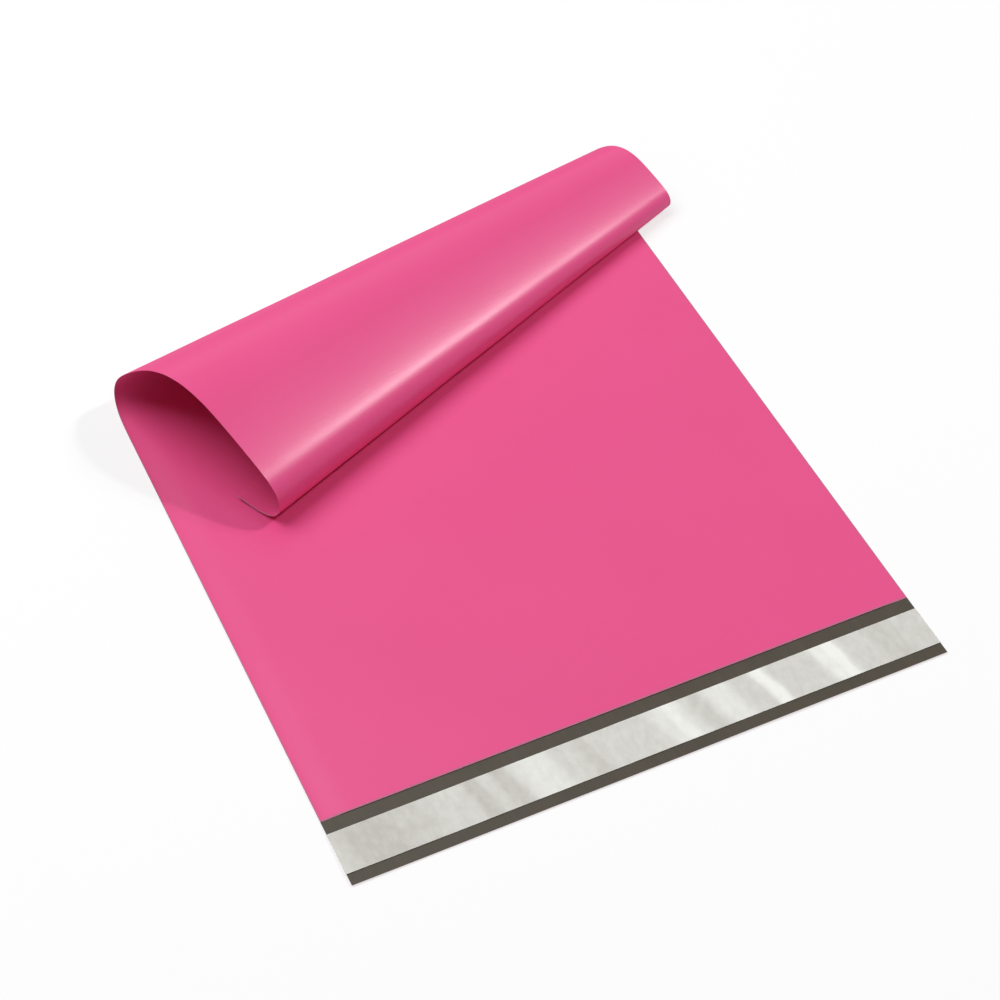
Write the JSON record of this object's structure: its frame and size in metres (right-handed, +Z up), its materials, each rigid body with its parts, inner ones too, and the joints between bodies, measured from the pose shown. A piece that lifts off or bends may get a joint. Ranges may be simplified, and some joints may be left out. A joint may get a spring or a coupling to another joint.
{
  "type": "poly mailer",
  "caption": "Flat mailing bag of thin pink film, its closed end curled over on itself, with a strip of glue under a glossy release liner on the flap at its mouth.",
  "frame": {"origin": "on the underside of the back panel, mid-width, 140 mm from the mouth, below the middle of the place for an address label", "axes": "+X along the mouth, +Y from the mouth to the closed end, +Z up, out of the front panel"},
  "size_m": [0.3285, 0.3816, 0.0496],
  "materials": {
    "pink_film": "satin",
    "hot_melt_glue": "matte",
    "release_liner": "gloss"
  },
  "bodies": {
    "root": {"mailer_bag": "pink_film", "glue_strip": "hot_melt_glue", "release_liner": "release_liner"}
  },
  "joints": []
}
